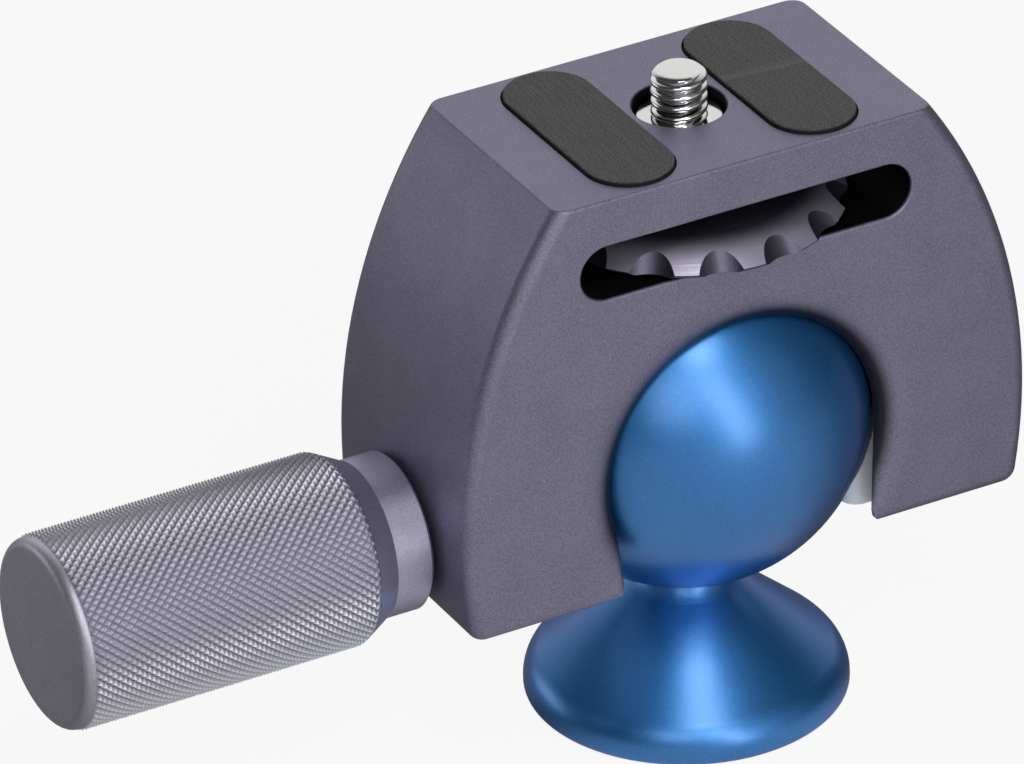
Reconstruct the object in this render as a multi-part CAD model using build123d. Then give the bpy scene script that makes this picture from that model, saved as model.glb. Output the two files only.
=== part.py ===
from build123d import *
import os
from math import cos, radians, sin, sqrt, tan

os.makedirs("parts", exist_ok=True)

# A tripod ball head.  The ball and its foot are one turned piece that stands on the tripod, and the
# housing straddles the ball: two jaws in its pocket grip the ball from the sides, a knob on a spindle
# closes them, and a captive screw under the top plate is turned by a thumb wheel in a slot.
# Millimetres.  The origin is the centre of the foot's underside, +Z is up, the front faces -Y and the
# knob points along -X.  Heights named RISE or DROP are measured from the centre of the ball.

# Fits
RUNNING_GAP = 0.05        # radial gap between pieces that turn or slide on one another
LOCATING_GAP = 0.02       # radial gap around pieces that are pressed, screwed or glued in
END_GAP = 0.05            # end float of a captive piece
JAW_SIDE_GAP = 0.2        # gap between a jaw and the walls of its pocket
PAD_EDGE_GAP = 0.2        # groove left around a camera pad
CAVITY_GAP = 0.4          # between the ball and the housing around it
CUP_GAP = 0.6             # between the ball and the hollow of a jaw
LINING_GAP = 0.25         # between the ball and the friction lining of a jaw
CUT_OVER = 1.0            # how far a cutting tool runs past the face where it leaves

# Ball and foot
BALL_R = 21.0
BALL_Z = 36.9
NECK_R = 4.8
NECK_ROUND = 4.5
FOOT_R = 18.5
FOOT_RIM_Z = 3.4          # where the line of the cone meets the rim
FOOT_SLOPE = 41.0         # degrees, the cone above the level
FOOT_RIM_ROUND = 4.7
FOOT_BASE_ROUND = 1.0
RELIEF_R = 14.0           # the underside rests on the ring outside this
RELIEF_DEPTH = 0.4

# Tripod bush, 3/8"-16
TRIPOD_BORE_R = 4.0
TRIPOD_BORE_L = 9.0
TRIPOD_BUSH_WALL = 2.5
TRIPOD_FLANGE_WIDTH = 1.5
TRIPOD_FLANGE_T = 1.5
TRIPOD_TIP_ROOM = 0.6     # bore left past the end of the bush

# Housing
DEPTH = 29.8
HALF_WIDTH = 35.9         # at the widest place of the bowed flanks
FLANK_R = 67.0
FLANK_DROP = 1.1          # the widest place lies this far under the ball's centre
TOP_RISE = 37.6
LEG_DROP = 13.7
LEG_CORNER_ROUND = 2.0
FLANK_EDGE_ROUND = 1.7
TOP_EDGE_ROUND = 0.35

# Arch around the ball, open to the front and the back
ARCH_R = 16.8
ARCH_TAPER = 9.0         # degrees, the lean of the arch's sides below the ball's centre
ARCH_FLARE = 2.0

# Pocket for the jaws
POCKET_WALL_GAP = 7.5     # from the side of the ball to the end of the pocket
POCKET_Y = 10.5
POCKET_RISE = 13.6
POCKET_CORNER_ROUND = 1.5

# Jaws and their friction linings
JAW_WRAP = 5.6            # how far a jaw reaches around the side of the ball
JAW_TRAVEL = 1.5
JAW_TOP_GAP = 0.3
JAW_FOOT_GAP = 0.2
JAW_CORNER_ROUND = 2.0
LINING_R = 8.0
LINING_T = 1.6            # behind the side of the ball
JAW_SCREW_RISE = 8.5
JAW_SCREW_Y = 7.2
JAW_SCREW_R = 1.5
JAW_SCREW_HEAD_R = 2.75
JAW_SCREW_HEAD_T = 2.4
JAW_SCREW_HOLE_GAP = 0.2  # around the head in its counterbore
JAW_SCREW_WALL = 2.5      # housing wall that each screw clamps
JAW_SCREW_REACH = 7.0     # into the jaw

# Clamping spindle, M8, with a tee head in the moving jaw
SPINDLE_DROP = 5.6
SPINDLE_R = 4.0
TEE_HEAD_R = 5.2
TEE_HEAD_T = 1.4
TEE_LIP_T = 1.2
TEE_SIDE_GAP = 0.1
THRUST_PLATE_T = 0.7
SPINDLE_BUSH_WALL = 1.6
SPINDLE_FLANGE_WIDTH = 1.3
SPINDLE_FLANGE_T = 1.5
SPINDLE_BUSH_SUNK = 1.1   # the bush stops this far inside the widest place of the flank
SPINDLE_END_ROOM = 0.5    # the knob's screw draws up over this

# Knob
WASHER_SIDE_GAP = 0.1     # between the friction washer and the widest place of the flank
SPINDLE_WASHER_T = 0.5
SPINDLE_WASHER_R = 7.5
COLLAR_R = 9.1
COLLAR_L = 4.6
COLLAR_CONE_L = 3.9
COLLAR_BREAK = 0.4
GRIP_R = 11.2
GRIP_L = 34.1
GRIP_BORE_R = 7.0
GRIP_BORE_L = 8.1
CAP_R = 10.9
CAP_T = 1.3
CAP_ROUND = 1.2
CAP_SPIGOT_L = 1.8
KNOB_WASHER_R = 6.5
KNOB_WASHER_T = 1.0
KNOB_SCREW_R = 2.5
KNOB_SCREW_HEAD_R = 4.25
KNOB_SCREW_HEAD_T = 5.0
KNOB_SCREW_L = 11.0

# Slot for the thumb wheel
SLOT_RISE = 28.6
SLOT_R = 3.3
SLOT_HALF_L = 20.8
SLOT_EDGE_ROUND = 0.3

# Thumb wheel
WHEEL_R = 18.5
WHEEL_T = 5.1
WHEEL_HUB_R = 8.0         # flat top of the hub inside the slope
WHEEL_SLOPE = 19.6        # degrees, the fall of the top towards the rim
WHEEL_SHOULDER_ROUND = 1.5
WHEEL_BREAK = 0.3
SCALLOPS = 15
SCALLOP_R = 4.4
SCALLOP_LEAN = 38.0       # degrees, the lean of a scallop from the upright
SCALLOP_DEPTH = 0.9       # at the underside of the wheel
SCALLOP_TURN = -81.5      # degrees, the scallop that stands nearest the front
WHEEL_WASHER_R = 8.0
WHEEL_WASHER_T = 0.6
WHEEL_PIN_R = 1.0
WHEEL_PIN_HALF_L = 7.0

# Camera screw, 1/4"-20
SCREW_R = 3.175
SCREW_PROUD = 4.5
SCREW_BREAK = 0.8
SHOULDER_R = 4.7
SHOULDER_SUNK = 1.8       # below the top plane
STEM_R = 3.0
STEM_TIP_DEPTH = 2.0      # the stem's bearing in the floor of the slot
STEM_TIP_ROOM = 0.2
SCREW_HOLE_R = 5.25
SCREW_HOLE_BREAK = 0.2
SCREW_BUSH_L = 3.0

# Camera pads
PAD_X = 11.45
PAD_WIDTH = 10.3
PAD_LENGTH = 27.9
PAD_SUNK = 0.8
PAD_T = 1.3
PAD_EDGE_ROUND = 0.3

# Heights and stations that follow from the sizes above
TOP_Z = BALL_Z + TOP_RISE
LEG_Z = BALL_Z - LEG_DROP
FLANK_Z = BALL_Z - FLANK_DROP
KNOB_Z = BALL_Z - SPINDLE_DROP
SLOT_Z = BALL_Z + SLOT_RISE
SLOT_FLOOR_Z = SLOT_Z - SLOT_R
WHEEL_Z = SLOT_FLOOR_Z + 2 * END_GAP + WHEEL_WASHER_T
WHEEL_TOP_Z = WHEEL_Z + WHEEL_T
CAVITY_R = BALL_R + CAVITY_GAP
TRIPOD_BUSH_R = TRIPOD_BORE_R + TRIPOD_BUSH_WALL
TRIPOD_FLANGE_R = TRIPOD_BUSH_R + TRIPOD_FLANGE_WIDTH
SPINDLE_BUSH_R = SPINDLE_R + SPINDLE_BUSH_WALL
SPINDLE_FLANGE_R = SPINDLE_BUSH_R + SPINDLE_FLANGE_WIDTH
POCKET_X = BALL_R + POCKET_WALL_GAP
JAW_FACE_X = BALL_R - JAW_WRAP
LINING_BACK_X = BALL_R + LINING_T
JAW_BACK_X = POCKET_X - JAW_TRAVEL - JAW_SIDE_GAP
TEE_FLOOR_X = JAW_BACK_X - TEE_LIP_T - TEE_HEAD_T - 2 * END_GAP
WASHER_FACE_X = HALF_WIDTH + WASHER_SIDE_GAP
COLLAR_X = WASHER_FACE_X + SPINDLE_WASHER_T
CONE_X = COLLAR_X + COLLAR_L
GRIP_X = CONE_X + COLLAR_CONE_L
CAP_X = GRIP_X + GRIP_L
GRIP_FLOOR_X = CAP_X - GRIP_BORE_L
SPINDLE_END_X = GRIP_FLOOR_X - SPINDLE_END_ROOM
KNOB_SCREW_SEAT_X = GRIP_FLOOR_X + KNOB_WASHER_T


def upright(radius, z_low, z_high):
    """A round bar on the screw axis, between two heights."""
    return Pos(0, 0, (z_low + z_high) / 2) * Cylinder(radius, z_high - z_low)


def crossbar(radius, x_from, x_to, z):
    """A round bar along X at a height, between two stations."""
    return Pos((x_from + x_to) / 2, 0, z) * Rot(0, 90, 0) * Cylinder(radius, abs(x_to - x_from))


def corner(outline, x, y):
    """The corner of a flat outline that lies nearest a place."""
    return outline.vertices().sort_by_distance(Vector(x, y, 0))[0]


def jaw_screw_bar(side, radius, x_from, x_to):
    """A round bar on the axis of one of the fixed jaw's two screws."""
    return Pos(0, side * JAW_SCREW_Y, 0) * crossbar(radius, x_from, x_to, BALL_Z + JAW_SCREW_RISE)


def make_ball_foot():
    """The ball, its neck and its conical foot, turned in one piece."""
    slope = radians(FOOT_SLOPE)
    neck_z = FOOT_RIM_Z + (FOOT_R - NECK_R) * tan(slope)
    half = make_face(Polyline((0, 0), (FOOT_R, 0), (FOOT_R, FOOT_RIM_Z), (NECK_R, neck_z),
                              (NECK_R, BALL_Z), (0, BALL_Z), close=True))
    half = fillet(corner(half, NECK_R, neck_z), NECK_ROUND)
    half = fillet(corner(half, FOOT_R, FOOT_RIM_Z), FOOT_RIM_ROUND)
    half = fillet(corner(half, FOOT_R, 0), FOOT_BASE_ROUND)
    body = revolve(Plane.XZ * half, Axis.Z) + Pos(0, 0, BALL_Z) * Sphere(BALL_R)
    body -= upright(RELIEF_R, -CUT_OVER, RELIEF_DEPTH)
    body -= upright(TRIPOD_FLANGE_R + LOCATING_GAP, -CUT_OVER, TRIPOD_FLANGE_T)
    return body - upright(TRIPOD_BUSH_R + LOCATING_GAP, 0, TRIPOD_BORE_L + TRIPOD_TIP_ROOM)


def make_tripod_bush():
    """Flanged steel bush that carries the tripod thread."""
    bush = upright(TRIPOD_BUSH_R, 0, TRIPOD_BORE_L) + upright(TRIPOD_FLANGE_R, 0, TRIPOD_FLANGE_T)
    return bush - upright(TRIPOD_BORE_R, -CUT_OVER, TRIPOD_BORE_L + CUT_OVER)


def flank_x(z):
    """Half the width of the housing at a height."""
    return HALF_WIDTH - FLANK_R + sqrt(FLANK_R ** 2 - (z - FLANK_Z) ** 2)


def make_housing_block():
    """The outer form: a flat top on two bowed flanks, rounded along the front and back edges."""
    top_x = flank_x(TOP_Z)
    leg_x = flank_x(LEG_Z)
    outline = make_face([
        Line((-top_x, TOP_Z), (top_x, TOP_Z)),
        ThreePointArc((top_x, TOP_Z), (HALF_WIDTH, FLANK_Z), (leg_x, LEG_Z)),
        Line((leg_x, LEG_Z), (-leg_x, LEG_Z)),
        ThreePointArc((-leg_x, LEG_Z), (-HALF_WIDTH, FLANK_Z), (-top_x, TOP_Z)),
    ])
    feet = [corner(outline, leg_x, LEG_Z), corner(outline, -leg_x, LEG_Z)]
    outline = fillet(feet, LEG_CORNER_ROUND)
    block = extrude(Plane.XZ * outline, DEPTH / 2, both=True)
    rims = [edge for face in (block.faces().sort_by(Axis.Y)[0], block.faces().sort_by(Axis.Y)[-1])
            for edge in face.edges() if edge.center().Z < TOP_Z - TOP_EDGE_ROUND]
    block = fillet(rims, FLANK_EDGE_ROUND)
    return fillet(block.faces().sort_by(Axis.Z)[-1].edges(), TOP_EDGE_ROUND)


def arch_outline(grown=0.0):
    """The arch's outline, or one that runs outside it: a round head on sides that close downwards."""
    lean = radians(ARCH_TAPER)
    radius = ARCH_R + grown
    side_x = radius * cos(lean)
    side_z = BALL_Z - radius * sin(lean)
    end_z = LEG_Z - ARCH_FLARE - CUT_OVER - grown
    end_x = side_x - (side_z - end_z) * tan(lean)
    return make_face([
        ThreePointArc((-side_x, side_z), (0, BALL_Z + radius), (side_x, side_z)),
        Polyline((side_x, side_z), (end_x, end_z), (-end_x, end_z), (-side_x, side_z)),
    ])


def make_arch_cutter():
    """What the arch removes: a through opening whose mouths flare out to both faces."""
    cutter = extrude(Plane.XZ * arch_outline(), DEPTH / 2 + CUT_OVER, both=True)
    mouth = extrude(Plane.XZ * arch_outline(ARCH_FLARE + CUT_OVER), CUT_OVER)
    cutter += Pos(0, -DEPTH / 2, 0) * mouth
    cutter += Pos(0, DEPTH / 2 + CUT_OVER, 0) * mouth
    for face_y in (-DEPTH / 2, DEPTH / 2):
        heart = Vector(0, face_y, BALL_Z)
        in_face = cutter.edges().filter_by_position(Axis.Y, face_y, face_y)
        throat = [edge for edge in in_face if abs(edge.distance_to(heart) - ARCH_R) < LOCATING_GAP]
        cutter = fillet(throat, ARCH_FLARE)
    return cutter


def slot_outline():
    return Pos(0, SLOT_Z) * SlotOverall(2 * SLOT_HALF_L, 2 * SLOT_R)


def pad_outline(grown=0.0):
    """Full-round outline of a camera pad, lying along Y."""
    return SlotOverall(PAD_LENGTH + 2 * grown, PAD_WIDTH + 2 * grown, rotation=90)


def make_housing():
    """The housing that straddles the ball, with every seat that the inner pieces need."""
    body = make_housing_block() - make_arch_cutter()
    body -= Pos(0, 0, BALL_Z) * Sphere(CAVITY_R) + upright(CAVITY_R, LEG_Z - CUT_OVER, BALL_Z)
    pocket = RectangleRounded(2 * POCKET_X, 2 * POCKET_Y, POCKET_CORNER_ROUND)
    body -= extrude(Pos(0, 0, LEG_Z - CUT_OVER) * pocket, LEG_DROP + CUT_OVER + POCKET_RISE)

    body -= extrude(Plane.XZ * slot_outline(), DEPTH / 2 + CUT_OVER, both=True)
    slot_rims = [edge for face_y in (-DEPTH / 2, DEPTH / 2)
                 for edge in body.edges().filter_by_position(Axis.Y, face_y, face_y)
                 if abs(edge.center().Z - SLOT_Z) <= SLOT_R + LOCATING_GAP
                 and abs(edge.center().X) < SLOT_HALF_L]
    body = fillet(slot_rims, SLOT_EDGE_ROUND)

    body -= upright(SCREW_HOLE_R, SLOT_Z, TOP_Z + CUT_OVER)
    mouth = [edge for edge in body.edges().filter_by_position(Axis.Z, TOP_Z, TOP_Z)
             if edge.geom_type == GeomType.CIRCLE and edge.radius == SCREW_HOLE_R]
    body = chamfer(mouth, SCREW_HOLE_BREAK)
    body -= upright(STEM_R + RUNNING_GAP, SLOT_FLOOR_Z - STEM_TIP_DEPTH - STEM_TIP_ROOM, SLOT_Z)
    for side in (-1, 1):
        recess = Pos(side * PAD_X, 0, TOP_Z - PAD_SUNK) * pad_outline(PAD_EDGE_GAP)
        body -= extrude(recess, PAD_SUNK + CUT_OVER)

    flange_floor = POCKET_X + SPINDLE_FLANGE_T
    body -= crossbar(SPINDLE_BUSH_R + LOCATING_GAP, -POCKET_X, -HALF_WIDTH - CUT_OVER, KNOB_Z)
    body -= crossbar(SPINDLE_FLANGE_R + LOCATING_GAP, -POCKET_X + CUT_OVER, -flange_floor, KNOB_Z)
    screw_seat = POCKET_X + JAW_SCREW_WALL
    for side in (-1, 1):
        body -= jaw_screw_bar(side, JAW_SCREW_R + LOCATING_GAP, POCKET_X - CUT_OVER, HALF_WIDTH)
        body -= jaw_screw_bar(side, JAW_SCREW_HEAD_R + JAW_SCREW_HOLE_GAP, screw_seat, HALF_WIDTH + CUT_OVER)
    return body


def make_pad(side):
    """Rubber pad on one side of the screw, standing a little proud of the top."""
    pad = extrude(pad_outline(), PAD_T)
    pad = fillet(pad.faces().sort_by(Axis.Z)[-1].edges(), PAD_EDGE_ROUND)
    return Pos(side * PAD_X, 0, TOP_Z - PAD_SUNK) * pad


def make_jaw(side, back_x):
    """Plastic jaw on one side: a block hollowed to the ball, with a round seat for its lining."""
    foot_z = LEG_Z + JAW_FOOT_GAP
    length = back_x - JAW_FACE_X
    plan = RectangleRounded(length, 2 * (POCKET_Y - JAW_SIDE_GAP), JAW_CORNER_ROUND)
    block = extrude(Pos(side * (JAW_FACE_X + length / 2), 0, foot_z) * plan,
                    BALL_Z + POCKET_RISE - JAW_TOP_GAP - foot_z)
    block -= Pos(0, 0, BALL_Z) * Sphere(BALL_R + CUP_GAP)
    return block - crossbar(LINING_R + LOCATING_GAP, 0, side * LINING_BACK_X, BALL_Z)


def make_fixed_jaw():
    """The jaw on the far side from the knob, face to face with the end of the pocket."""
    jaw = make_jaw(1, POCKET_X)
    hole_end = POCKET_X - JAW_SCREW_REACH
    for side in (-1, 1):
        jaw -= jaw_screw_bar(side, JAW_SCREW_R + LOCATING_GAP, hole_end, POCKET_X + CUT_OVER)
    return jaw


def make_tee_slot():
    """What the tee slot removes: the moving jaw drops over the spindle's head from below."""
    head_half = TEE_HEAD_R + TEE_SIDE_GAP
    neck_half = SPINDLE_R + TEE_SIDE_GAP
    lip_x = JAW_BACK_X - TEE_LIP_T
    rise = BALL_Z + POCKET_RISE - KNOB_Z
    mid_z = KNOB_Z + rise / 2
    head_length = lip_x - TEE_FLOOR_X
    neck_length = TEE_LIP_T + CUT_OVER
    slot = crossbar(head_half, -TEE_FLOOR_X, -lip_x, KNOB_Z)
    slot += Pos(-(TEE_FLOOR_X + lip_x) / 2, 0, mid_z) * Box(head_length, 2 * head_half, rise)
    slot += crossbar(neck_half, -lip_x, -lip_x - neck_length, KNOB_Z)
    slot += Pos(-lip_x - neck_length / 2, 0, mid_z) * Box(neck_length, 2 * neck_half, rise)
    return slot


def make_moving_jaw():
    """The jaw on the knob's side, coupled to the spindle by its tee slot."""
    jaw = make_jaw(-1, JAW_BACK_X) - make_tee_slot()
    return jaw - crossbar(TEE_HEAD_R + LOCATING_GAP, -TEE_FLOOR_X, -TEE_FLOOR_X + THRUST_PLATE_T, KNOB_Z)


def make_lining(side):
    """Round friction lining of a jaw, hollowed to the ball."""
    disc = crossbar(LINING_R, side * JAW_FACE_X, side * LINING_BACK_X, BALL_Z)
    return disc - Pos(0, 0, BALL_Z) * Rot(0, 90, 0) * Sphere(BALL_R + LINING_GAP)


def make_fixed_jaw_screws():
    """The two screws that hold the fixed jaw through the wall of the housing."""
    seat = POCKET_X + JAW_SCREW_WALL
    tip = POCKET_X - JAW_SCREW_REACH + JAW_SCREW_R
    screws = [jaw_screw_bar(side, JAW_SCREW_R, tip, seat)
              + jaw_screw_bar(side, JAW_SCREW_HEAD_R, seat, seat + JAW_SCREW_HEAD_T)
              for side in (-1, 1)]
    return Compound(screws)


def make_spindle_bush():
    """Flanged threaded bush in the wall of the housing; its flange takes the clamping load."""
    bush = crossbar(SPINDLE_BUSH_R, -POCKET_X, SPINDLE_BUSH_SUNK - HALF_WIDTH, KNOB_Z)
    bush += crossbar(SPINDLE_FLANGE_R, -POCKET_X, -POCKET_X - SPINDLE_FLANGE_T, KNOB_Z)
    return bush - crossbar(SPINDLE_R + RUNNING_GAP, -POCKET_X + CUT_OVER, -HALF_WIDTH, KNOB_Z)


def make_spindle():
    """Threaded spindle with a tee head at the jaw and a tapped end at the knob."""
    head_x = TEE_FLOOR_X + END_GAP
    spindle = crossbar(SPINDLE_R, -head_x, -SPINDLE_END_X, KNOB_Z)
    spindle += crossbar(TEE_HEAD_R, -head_x, -head_x - TEE_HEAD_T, KNOB_Z)
    bore_end = KNOB_SCREW_SEAT_X - KNOB_SCREW_L - SPINDLE_END_ROOM
    return spindle - crossbar(KNOB_SCREW_R + LOCATING_GAP, -bore_end, -SPINDLE_END_X - CUT_OVER, KNOB_Z)


def make_thrust_plate():
    """Hard disc in the floor of the tee slot, between the spindle's head and the plastic jaw."""
    return crossbar(TEE_HEAD_R, -TEE_FLOOR_X, -TEE_FLOOR_X + THRUST_PLATE_T, KNOB_Z)


def make_spindle_washer():
    """Friction washer between the knob's collar and the flank of the housing."""
    washer = crossbar(SPINDLE_WASHER_R, -WASHER_FACE_X, -COLLAR_X, KNOB_Z)
    hole = SPINDLE_R + LOCATING_GAP
    return washer - crossbar(hole, -WASHER_FACE_X + CUT_OVER, -COLLAR_X - CUT_OVER, KNOB_Z)


def make_knob_collar():
    """Plain collar at the root of the knob, opening in a cone to the width of the grip."""
    half = make_face(Polyline((-COLLAR_X, 0), (-COLLAR_X, COLLAR_R), (-CONE_X, COLLAR_R),
                              (-GRIP_X, GRIP_R), (-GRIP_X, 0), close=True))
    half = chamfer(corner(half, -COLLAR_X, COLLAR_R), COLLAR_BREAK)
    collar = Pos(0, 0, KNOB_Z) * revolve(half, Axis.X)
    return collar - crossbar(SPINDLE_R + LOCATING_GAP, -COLLAR_X + CUT_OVER, -GRIP_X - CUT_OVER, KNOB_Z)


def make_knob_grip():
    """Long round grip, bored for the spindle and counterbored from its end for the screw."""
    grip = crossbar(GRIP_R, -GRIP_X, -CAP_X, KNOB_Z)
    grip -= crossbar(SPINDLE_R + LOCATING_GAP, -GRIP_X + CUT_OVER, -CAP_X - CUT_OVER, KNOB_Z)
    return grip - crossbar(GRIP_BORE_R + LOCATING_GAP, -GRIP_FLOOR_X, -CAP_X - CUT_OVER, KNOB_Z)


def make_knob_end_cap():
    """Round-edged cap that closes the grip, held by its spigot."""
    cap = crossbar(CAP_R, -CAP_X, -CAP_X - CAP_T, KNOB_Z)
    cap = fillet(cap.faces().sort_by(Axis.X)[0].edges(), CAP_ROUND)
    return cap + crossbar(GRIP_BORE_R, -CAP_X, -CAP_X + CAP_SPIGOT_L, KNOB_Z)


def make_knob_washer():
    """Washer under the knob's screw."""
    washer = crossbar(KNOB_WASHER_R, -GRIP_FLOOR_X, -KNOB_SCREW_SEAT_X, KNOB_Z)
    hole = KNOB_SCREW_R + RUNNING_GAP
    return washer - crossbar(hole, -GRIP_FLOOR_X + CUT_OVER, -KNOB_SCREW_SEAT_X - CUT_OVER, KNOB_Z)


def make_knob_screw():
    """Screw that holds the grip and the collar on the spindle."""
    seat_x = KNOB_SCREW_SEAT_X
    shank = crossbar(KNOB_SCREW_R, -seat_x + KNOB_SCREW_L, -seat_x, KNOB_Z)
    return shank + crossbar(KNOB_SCREW_HEAD_R, -seat_x, -seat_x - KNOB_SCREW_HEAD_T, KNOB_Z)


def make_thumb_wheel():
    """Crowned wheel with leaning scallops for the thumb, bored for the screw's stem and its pin."""
    rim_z = WHEEL_TOP_Z - (WHEEL_R - WHEEL_HUB_R) * tan(radians(WHEEL_SLOPE))
    half = make_face(Polyline((0, WHEEL_TOP_Z), (0, WHEEL_Z), (WHEEL_R, WHEEL_Z), (WHEEL_R, rim_z),
                              (WHEEL_HUB_R, WHEEL_TOP_Z), close=True))
    half = fillet(corner(half, WHEEL_R, rim_z), WHEEL_SHOULDER_ROUND)
    half = chamfer(corner(half, WHEEL_R, WHEEL_Z), WHEEL_BREAK)
    wheel = Rot(0, 0, SCALLOP_TURN + 180 / SCALLOPS) * revolve(Plane.XZ * half, Axis.Z)
    lean = radians(SCALLOP_LEAN)
    axis_x = WHEEL_R - SCALLOP_DEPTH + SCALLOP_R * cos(lean)
    axis_z = WHEEL_Z + SCALLOP_R * sin(lean)
    cutter = Pos(axis_x, 0, axis_z) * Rot(0, -SCALLOP_LEAN, 0) * Cylinder(SCALLOP_R, 2 * WHEEL_R)
    for index in range(SCALLOPS):
        wheel -= Rot(0, 0, SCALLOP_TURN + index * 360 / SCALLOPS) * cutter
    wheel -= upright(STEM_R + LOCATING_GAP, WHEEL_Z - CUT_OVER, WHEEL_TOP_Z + CUT_OVER)
    return wheel - crossbar(WHEEL_PIN_R + LOCATING_GAP, -WHEEL_R, WHEEL_PIN_HALF_L, WHEEL_Z + WHEEL_T / 2)


def make_wheel_pin():
    """Pin through the hub and the stem: it makes the wheel turn the screw."""
    return crossbar(WHEEL_PIN_R, -WHEEL_PIN_HALF_L, WHEEL_PIN_HALF_L, WHEEL_Z + WHEEL_T / 2)


def make_wheel_washer():
    """Washer under the wheel, on the floor of the slot."""
    low = SLOT_FLOOR_Z + END_GAP
    washer = upright(WHEEL_WASHER_R, low, low + WHEEL_WASHER_T)
    return washer - upright(STEM_R + RUNNING_GAP, low - CUT_OVER, low + WHEEL_WASHER_T + CUT_OVER)


def make_camera_screw():
    """Captive camera screw: thread, polished shoulder and a plain stem down through the wheel."""
    shoulder_z = TOP_Z - SHOULDER_SUNK
    thread = upright(SCREW_R, shoulder_z, TOP_Z + SCREW_PROUD)
    thread = chamfer(thread.faces().sort_by(Axis.Z)[-1].edges(), SCREW_BREAK)
    screw = thread + upright(SHOULDER_R, WHEEL_TOP_Z, shoulder_z)
    screw += upright(STEM_R, SLOT_FLOOR_Z - STEM_TIP_DEPTH, WHEEL_TOP_Z)
    reach = STEM_R + CUT_OVER
    return screw - crossbar(WHEEL_PIN_R + LOCATING_GAP, -reach, reach, WHEEL_Z + WHEEL_T / 2)


def make_screw_bush():
    """Thin plastic sleeve that steadies the shoulder in the top plate."""
    low = SLOT_Z + SLOT_R
    bush = upright(SCREW_HOLE_R - LOCATING_GAP, low, low + SCREW_BUSH_L)
    return bush - upright(SHOULDER_R + RUNNING_GAP, low - CUT_OVER, low + SCREW_BUSH_L + CUT_OVER)


NODES = {
    "ball_foot": make_ball_foot(),
    "tripod_bush": make_tripod_bush(),
    "housing": make_housing(),
    "pad_left": make_pad(-1),
    "pad_right": make_pad(1),
    "fixed_jaw": make_fixed_jaw(),
    "fixed_jaw_insert": make_lining(1),
    "fixed_jaw_screws": make_fixed_jaw_screws(),
    "moving_jaw": make_moving_jaw(),
    "moving_jaw_insert": make_lining(-1),
    "thrust_plate": make_thrust_plate(),
    "spindle_bush": make_spindle_bush(),
    "spindle": make_spindle(),
    "spindle_washer": make_spindle_washer(),
    "knob_collar": make_knob_collar(),
    "knob_grip": make_knob_grip(),
    "knob_end_cap": make_knob_end_cap(),
    "knob_washer": make_knob_washer(),
    "knob_screw": make_knob_screw(),
    "thumb_wheel": make_thumb_wheel(),
    "wheel_pin": make_wheel_pin(),
    "wheel_washer": make_wheel_washer(),
    "camera_screw": make_camera_screw(),
    "screw_bush": make_screw_bush(),
}

for name, shape in NODES.items():
    export_step(shape, f"parts/{name}.step")
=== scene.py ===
from math import atan2, cos, pi, radians, sin, tan

import bmesh
import bpy
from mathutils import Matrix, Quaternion, Vector


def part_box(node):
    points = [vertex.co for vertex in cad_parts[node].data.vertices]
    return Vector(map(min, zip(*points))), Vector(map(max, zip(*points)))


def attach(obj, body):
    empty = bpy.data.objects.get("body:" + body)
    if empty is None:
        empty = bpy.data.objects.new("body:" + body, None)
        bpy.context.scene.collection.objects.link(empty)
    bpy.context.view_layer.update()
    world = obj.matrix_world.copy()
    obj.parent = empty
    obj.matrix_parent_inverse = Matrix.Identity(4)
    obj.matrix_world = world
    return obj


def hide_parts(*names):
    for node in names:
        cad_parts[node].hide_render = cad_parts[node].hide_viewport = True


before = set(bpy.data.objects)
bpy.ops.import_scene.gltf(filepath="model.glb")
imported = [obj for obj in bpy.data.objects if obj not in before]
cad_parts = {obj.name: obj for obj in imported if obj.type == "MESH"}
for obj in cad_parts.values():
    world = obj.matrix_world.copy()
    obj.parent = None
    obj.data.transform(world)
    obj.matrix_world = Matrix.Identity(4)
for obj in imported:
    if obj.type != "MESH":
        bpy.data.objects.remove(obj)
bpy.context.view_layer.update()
MM = 0.001


# ---- Studio ----
# A white table in a white room, a long lens to the left of the front and above it, and three
# softboxes: tall in front, square overhead, and wide from the left.  Seen from the object, the room
# is dim but for three bright sides, and the table is bright in front and faintly at the back left.

VIEW_TURN = radians(28.320)
VIEW_RISE = radians(30.255)
VIEW_ROLL = radians(-1.267)
VIEW_DISTANCE = 1.1838
AIM = Vector((-16.788, 8.883, 39.752)) * MM
LENS = 373.96

towards_camera = Vector((-sin(VIEW_TURN) * cos(VIEW_RISE), -cos(VIEW_TURN) * cos(VIEW_RISE),
                         sin(VIEW_RISE)))
camera_data = bpy.data.cameras.new("camera")
camera_data.lens = LENS
camera_data.sensor_width = 36.0
camera_data.clip_start = 0.05
camera_data.clip_end = 20.0
camera = bpy.data.objects.new("camera", camera_data)
bpy.context.collection.objects.link(camera)
camera.location = AIM + towards_camera * VIEW_DISTANCE
camera.rotation_mode = "QUATERNION"
camera.rotation_quaternion = (towards_camera.to_track_quat("Z", "Y")
                              @ Quaternion((0, 0, 1), VIEW_ROLL))
bpy.context.scene.camera = camera
bpy.context.scene.view_settings.view_transform = "Standard"

LAMPS_AIM = Vector((0, 0, 40)) * MM


def soft_lamp(name, direction, distance, width, height, power, lean=0.0):
    """A large softbox that faces the ball, and may lean to one side."""
    data = bpy.data.lights.new(name, "AREA")
    data.shape = "RECTANGLE"
    data.size = width
    data.size_y = height
    data.energy = power
    lamp = bpy.data.objects.new(name, data)
    bpy.context.collection.objects.link(lamp)
    back = Vector(direction).normalized()
    lamp.location = LAMPS_AIM + back * distance
    lamp.rotation_mode = "QUATERNION"
    lamp.rotation_quaternion = back.to_track_quat("Z", "Y") @ Quaternion((0, 0, 1), lean)
    lamp.visible_camera = False


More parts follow.
